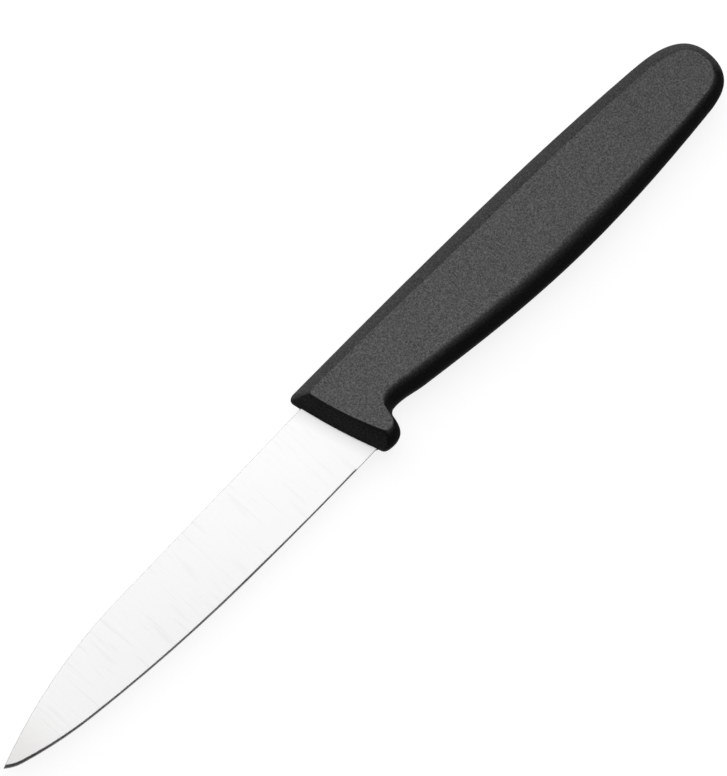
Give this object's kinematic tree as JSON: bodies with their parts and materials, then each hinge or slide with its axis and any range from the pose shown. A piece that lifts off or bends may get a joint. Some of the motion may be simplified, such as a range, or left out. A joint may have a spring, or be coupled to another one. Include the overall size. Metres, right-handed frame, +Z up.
{
  "type": "paring knife",
  "caption": "Paring knife with a flat-ground satin steel blade and a black moulded plastic handle with finger guard and rounded butt.",
  "frame": {"origin": "middle of the knife's box in X and Y, at the level of the surface that it lies on", "axes": "+X from the point towards the butt, +Y from the edge towards the back of the blade, +Z up through the thickness, with the knife lying on its right side"},
  "size_m": [0.2084, 0.0226, 0.0105],
  "materials": {
    "steel": "fine satin grind across the blade",
    "plastic": "fine pebbled mould grain"
  },
  "bodies": {
    "root": {"blade": "steel", "handle": "plastic"}
  },
  "joints": []
}
